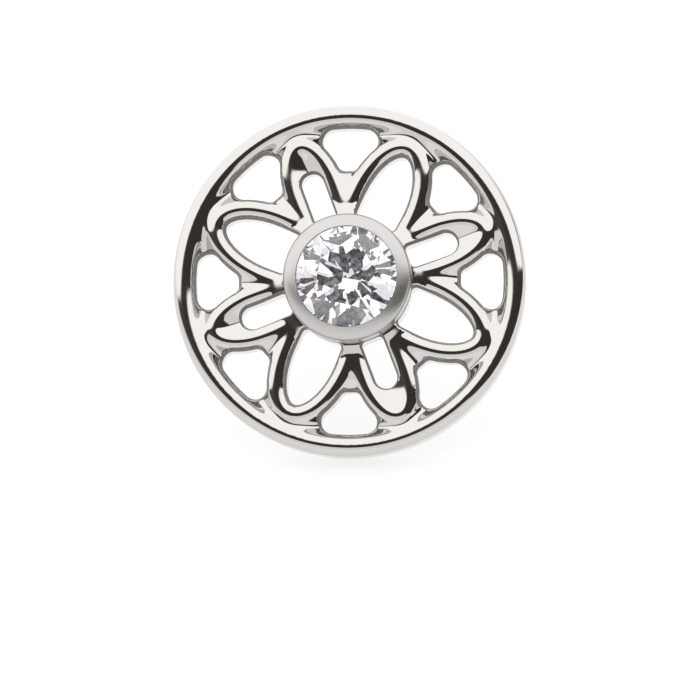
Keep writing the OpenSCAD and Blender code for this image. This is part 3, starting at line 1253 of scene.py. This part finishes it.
@dataclass
class BezelCup:
    """The smooth round setting: a wall with a rounded shoulder, a thin lip and a plug below.

    It stands on the low fillet that the disc's look has round it.
    """

    cup_d: float = 3.62
    foot_h: float = 0.065
    foot_break: float = 0.03
    lip_d: float = 2.84
    plug_d: float = 3.0
    plug_break: float = 0.04
    rim_h: float = 1.05
    cup_rise: float = 0.9
    lip_slope: float = 14.0
    shoulder_slope: float = 36.0
    shoulder_r: float = 0.18
    shoulder_step: float = 6.0
    crown_step: float = 3.0
    lip_flat: float = 0.02
    lip_break: float = 0.03
    lip_depth: float = 0.1
    seat_r: float = 1.52
    girdle_z: float = 1.69
    girdle_h: float = 0.06
    well_r: float = 0.25
    well_floor: float = 0.34
    well_h: float = 0.22
    root_hole_r: float = 0.22
    mouth_r: float = 0.3
    root_h: float = 0.24
    seat_gap: float = 0.02
    sides: int = 160
    crease: float = 38.0

    def _outside(self, lip_z: float) -> List[Span]:
        """The outside above the foot: the round shoulder, then the crown that slopes less and less.

        Args:
            lip_z: height of the lip.

        Returns:
            Radius and height of its points, upwards.
        """
        lip, shoulder = math.radians(self.lip_slope), math.radians(self.shoulder_slope)
        corner_r = self.cup_d / 2 - self.shoulder_r
        start_r = self.lip_d / 2 + self.lip_flat
        width = corner_r + self.shoulder_r * math.sin(shoulder) - start_r
        crown_r = width / (math.sin(shoulder) - math.sin(lip))
        fall = crown_r * (math.cos(lip) - math.cos(shoulder))
        corner_z = lip_z - fall - self.shoulder_r * math.cos(shoulder)
        corner = [(corner_r + self.shoulder_r * math.sin(a), corner_z + self.shoulder_r * math.cos(a))
                  for a in evenly(HALF_PI, shoulder, math.radians(self.shoulder_step))]
        crown = [(start_r + crown_r * (math.sin(a) - math.sin(lip)),
                  lip_z - crown_r * (math.cos(lip) - math.cos(a)))
                 for a in evenly(shoulder, lip, math.radians(self.crown_step))[1:]]
        return corner + crown

    def _profile(self) -> List[Span]:
        """Radius and height round the cup, from the pin's hole over the lip into the seat.

        Returns:
            The profile's points.
        """
        cup_r, lip_r, plug_r = self.cup_d / 2, self.lip_d / 2, self.plug_d / 2
        lip_z = self.rim_h + self.cup_rise
        foot_z = self.rim_h + self.foot_h
        return [
            (0.0, self.root_h),
            (self.root_hole_r, self.root_h),
            (self.mouth_r, 0.0),
            (plug_r - self.plug_break, 0.0),
            (plug_r, self.plug_break),
            (plug_r, foot_z - self.seat_gap),
            (cup_r - self.foot_break, foot_z + self.seat_gap),
            (cup_r, foot_z + self.seat_gap + self.foot_break),
            *self._outside(lip_z),
            (lip_r, lip_z - self.lip_break),
            (lip_r, lip_z - self.lip_depth),
            (self.seat_r, self.girdle_z + self.girdle_h + self.seat_gap),
            (self.seat_r, self.girdle_z - self.seat_gap),
            (self.well_r, self.well_floor + self.well_h),
            (self.well_r, self.well_floor),
            (0.0, self.well_floor),
        ]

    def build(self, place: RestingPlace) -> bpy.types.Object:
        """Builds the cup and lays it down."""
        mesh = lathe("bezel_cup", self._profile(), self.sides, self.crease)
        return place.lay(mesh, "bezel_cup", Finish.SATIN)


@dataclass
class RoundBrilliant:
    """The round brilliant: a table, stars, kites and halves above, mains and halves below.

    One eighth is drawn facet by facet, and a node tree repeats it round the stone.
    """

    stone_d: float = 3.0
    table_d: float = 1.72
    crown_h: float = 0.4
    pavilion_h: float = 1.27
    girdle_z: float = 1.69
    girdle_h: float = 0.06
    star_r: float = 1.18
    lower_r: float = 0.34
    stone_turn: float = 11.0
    mains: int = 8
    facets: Tuple[str, ...] = (
        "middle table_a table_b",
        "table_a star table_b",
        "table_a crown_a star",
        "table_b star crown_b",
        "star crown_a crown_m",
        "star crown_m crown_b",
        "crown_a girdle_a girdle_m crown_m",
        "crown_m girdle_m girdle_b crown_b",
        "deep girdle_m girdle_a",
        "deep girdle_b girdle_m",
        "culet deep girdle_a",
        "culet girdle_b deep",
    )

    def _wedge(self) -> bpy.types.Mesh:
        """One eighth of the stone, from one main axis to the next.

        Returns:
            The eighth, open at its sides.
        """
        step = math.tau / self.mains
        half = step / 2
        stone_r, table_r = self.stone_d / 2, self.table_d / 2
        crown_z = self.girdle_z + self.girdle_h
        table_z = crown_z + self.crown_h
        culet_z = self.girdle_z - self.pavilion_h
        star_z = table_z - self.crown_h * (self.star_r * math.cos(half) - table_r) / (stone_r - table_r)
        lower_z = culet_z + self.pavilion_h * self.lower_r * math.cos(half) / stone_r
        corners = {
            "middle": (0.0, 0.0, table_z),
            "table_a": (table_r, 0.0, table_z),
            "table_b": (table_r, step, table_z),
            "star": (self.star_r, half, star_z),
            "crown_a": (stone_r, 0.0, crown_z),
            "crown_m": (stone_r, half, crown_z),
            "crown_b": (stone_r, step, crown_z),
            "girdle_a": (stone_r, 0.0, self.girdle_z),
            "girdle_m": (stone_r, half, self.girdle_z),
            "girdle_b": (stone_r, step, self.girdle_z),
            "deep": (self.lower_r, half, lower_z),
            "culet": (0.0, 0.0, culet_z),
        }
        points = [(r * math.cos(turn) * MM, r * math.sin(turn) * MM, z * MM)
                  for r, turn, z in corners.values()]
        names = list(corners)
        faces = [[names.index(name) for name in facet.split()] for facet in self.facets]
        mesh = bpy.data.meshes.new("stone_eighth")
        mesh.from_pydata(points, [], faces)
        return mesh

    def _tree(self) -> GeometryTree:
        """The node tree that makes the whole stone of one eighth.

        Returns:
            The tree.
        """
        tree = GeometryTree("round_brilliant")
        tree.finish(tree.welded(tree.repeated(tree.mesh, tree.size("mains", self.mains))))
        return tree

    def build(self, place: RestingPlace) -> bpy.types.Object:
        """Builds the stone and lays it in its cup.

        Args:
            place: how the top lies.

        Returns:
            The piece.
        """
        mesh = self._tree().applied(self._wedge(), Finish.STONE.material())
        mesh.transform(Matrix.Rotation(math.radians(self.stone_turn), 4, "Z"))
        mesh.shade_flat()
        return place.lay(mesh, "stone", Finish.STONE)


@dataclass
class PushPin:
    """The straight pin, with a tapered root in the cup's plug and a round tip."""

    pin_d: float = 0.56
    pin_l: float = 5.44
    tip_step: float = 10.0
    root_r: float = 0.2
    root_h: float = 0.24
    seat_gap: float = 0.02
    sides: int = 64
    crease: float = 25.0

    def build(self, place: RestingPlace) -> bpy.types.Object:
        """Builds the pin and lays it down.

        Args:
            place: how the top lies.

        Returns:
            The piece.
        """
        pin_r = self.pin_d / 2
        tip_z = pin_r - self.pin_l
        angles = evenly(0.0, HALF_PI, math.radians(self.tip_step))[1:]
        profile = [
            (0.0, -self.pin_l),
            *[(pin_r * math.sin(a), tip_z - pin_r * math.cos(a)) for a in angles],
            (pin_r, -self.seat_gap),
            (self.root_r, self.root_h - self.seat_gap),
            (0.0, self.root_h - self.seat_gap),
        ]
        mesh = lathe("push_pin", profile, self.sides, self.crease)
        return place.lay(mesh, "push_pin", Finish.DRAWN)


# The studio


@dataclass
class Studio:
    """A pale floor in a white tent, seen through the tent's slit.

    The tent's dark slit is what the polished bars mirror as their dark lines. The edges of the
    slit and of the side walls are azimuths and elevations about the view of the disc, in degrees.
    """

    place: RestingPlace
    view_right: float = 4.2
    view_below: float = 6.5
    distance: float = 200.0
    frame_width: float = 19.77
    frame_offset: Span = (0.04, -1.985)
    sensor: float = 36.0
    nearest: float = 10.0
    tent_light: float = 1.42
    tent_colour: Colour = (1.0, 0.995, 0.99)
    low_light: float = 0.97
    slit_light: float = 0.045
    slit_left_light: float = 0.075
    slit_left_end: Span = (-35.0, -15.0)
    slit_colour: Colour = (1.12, 0.99, 0.885)
    softness: float = 1.2
    left_light: float = 0.85
    left_side: Span = (-85.0, -70.0)
    left_rise: Span = (-5.0, 10.0)
    right_light: float = 0.55
    right_side: Span = (84.0, 97.0)
    right_back: Span = (140.0, 165.0)
    right_top: Span = (18.0, 50.0)
    slit_top: Tuple[Span, ...] = (
        (-90, 2.5), (-74, 3.7), (-47, 7.3), (-23, 12.3), (-8, 15), (0, 15.4), (48, 14), (75, 12), (99, 9.4),
    )
    slit_bottom: Tuple[Span, ...] = (
        (-90, 0.5), (-74, -1.8), (-47, -8.4), (-10, -6), (0, -5.8), (11.5, -8), (24, -17), (51, -23),
        (81, -23.2), (99, -20),
    )
    floor_size: float = 1200.0
    floor_cells: int = 8

    def _axes(self) -> Matrix:
        """Right, up and towards the viewer at the disc, as the columns of a matrix.

        Returns:
            The matrix.
        """
        turn = self.place.matrix.to_3x3()
        side, drop = math.sin(math.radians(self.view_right)), math.sin(math.radians(self.view_below))
        towards = Vector((side, -drop, math.sqrt(1 - side**2 - drop**2)))
        right = Vector((0, 1, 0)).cross(towards).normalized()
        up = towards.cross(right)
        return Matrix([turn @ right, turn @ up, turn @ towards]).transposed()

    def _camera(self) -> None:
        """Sets the camera at the photograph's angle to the disc."""
        right, up, towards = self._axes().transposed()
        centre = self.place.matrix @ Vector((0, 0, self.place.rim_h * MM))
        at = centre + towards * self.distance * MM
        aim = centre + (right * self.frame_offset[0] + up * self.frame_offset[1]) * MM
        back = (at - aim).normalized()
        side = up.cross(back).normalized()
        turn = Matrix([side, back.cross(side), back]).transposed()
        data = bpy.data.cameras.new("camera")
        data.sensor_width = self.sensor
        data.lens = self.sensor * self.distance / self.frame_width
        data.clip_start = self.nearest * MM
        camera = in_scene("camera", data)
        camera.matrix_world = Matrix.Translation(at) @ turn.to_4x4()
        bpy.context.scene.camera = camera
        bpy.context.scene.view_settings.view_transform = "Standard"

    def _edge(self, tree: Tree, azimuth: Field, points: Sequence[Span]) -> Field:
        """Elevation of an edge of the slit over the azimuth.

        Args:
            tree: the world's tree.
            azimuth: the direction's azimuth in degrees.
            points: azimuth and elevation of the edge in degrees.

        Returns:
            The edge's elevation in degrees.
        """
        node = tree.add("ShaderNodeFloatCurve", 1.0, (azimuth + 180.0) / 360.0)
        curve = node.mapping.curves[0]
        for end, (_, e) in zip(curve.points, (points[0], points[-1])):
            end.location.y = e / 180 + 0.5
        for a, e in points:
            curve.points.new(a / 360 + 0.5, e / 180 + 0.5)
        for point in curve.points:
            point.handle_type = "VECTOR"
        node.mapping.update()
        return (Field(tree, node.outputs[0]) - 0.5) * 180.0

    def _light(self, tree: Tree) -> Field:
        """How bright the tent is in the direction that is looked at.

        Args:
            tree: the world's tree.

        Returns:
            The brightness.
        """
        towards = tree.get("ShaderNodeTexCoord", out=0)
        right, up, front = [
            tree.vector_math("DOT_PRODUCT", towards, tuple(axis), out=1)
            for axis in self._axes().transposed()
        ]
        azimuth = tree.math("DEGREES", tree.math("ARCTAN2", right, front))
        elevation = tree.math("DEGREES", tree.math("ARCSINE", up))
        top = self._edge(tree, azimuth, self.slit_top)
        bottom = self._edge(tree, azimuth, self.slit_bottom)
        above = tree.smooth_step(elevation, top - self.softness, top + self.softness)
        below = 1.0 - tree.smooth_step(elevation, bottom - self.softness, bottom + self.softness)
        left_wall = 1.0 - tree.smooth_step(azimuth, *self.left_side)
        left_light = between(self.left_light, self.tent_light, tree.smooth_step(elevation, *self.left_rise))
        right_wall = tree.smooth_step(azimuth, *self.right_side)
        right_wall = right_wall * (1.0 - tree.smooth_step(azimuth, *self.right_back))
        right_wall = right_wall * (1.0 - tree.smooth_step(elevation, *self.right_top))
        past_left = tree.smooth_step(azimuth, *self.slit_left_end)
        light = between(self.slit_left_light, self.slit_light, past_left)
        light = between(light, self.tent_light, above)
        light = between(light, self.low_light, below)
        light = between(light, left_light, left_wall)
        return between(light, self.right_light, right_wall)

    def _tent(self) -> None:
        """Lights the scene with the tent."""
        world = bpy.data.worlds.new("tent")
        world.use_nodes = True
        bpy.context.scene.world = world
        tree = Tree(world.node_tree)
        light = self._light(tree)
        share = tree.smooth_step(light, self.slit_light, self.right_light)
        background = world.node_tree.nodes["Background"]
        tree.feed(background.inputs["Strength"], light)
        tree.feed(background.inputs["Color"], tree.mixed(share, self.slit_colour, self.tent_colour))

    def _floor(self) -> bpy.types.Object:
        """Lays the floor.

        Returns:
            The floor.
        """
        row = self.floor_cells + 1
        across = [self.floor_size * (i / self.floor_cells - 0.5) for i in range(row)]
        points = [complex(x, y) for y in across for x in across]
        faces = [(k, k + 1, k + row + 1, k + row) for k in range(row * row - row) if (k + 1) % row]
        mesh = flat_mesh("floor", points, faces)
        mesh.materials.append(PaleFloor().material())
        floor = in_scene("floor", mesh)
        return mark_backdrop(floor)

    def build(self) -> None:
        """Sets the floor, the light and the camera."""
        self._floor()
        self._tent()
        self._camera()
        log.info("studio: floor, tent and camera")


def main() -> None:
    """Builds the top and its studio."""
    logging.basicConfig(level=logging.INFO, format="%(name)s: %(message)s")
    place = RestingPlace()
    for part in (FlowerDisc(), BezelCup(), RoundBrilliant(), PushPin()):
        part.build(place)
    Studio(place).build()
    boxes = {"cad": cad_box, "visual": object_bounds()}
    {name: [list(corner) for corner in box] for name, box in boxes.items()}


if __name__ == "__main__":
    main()
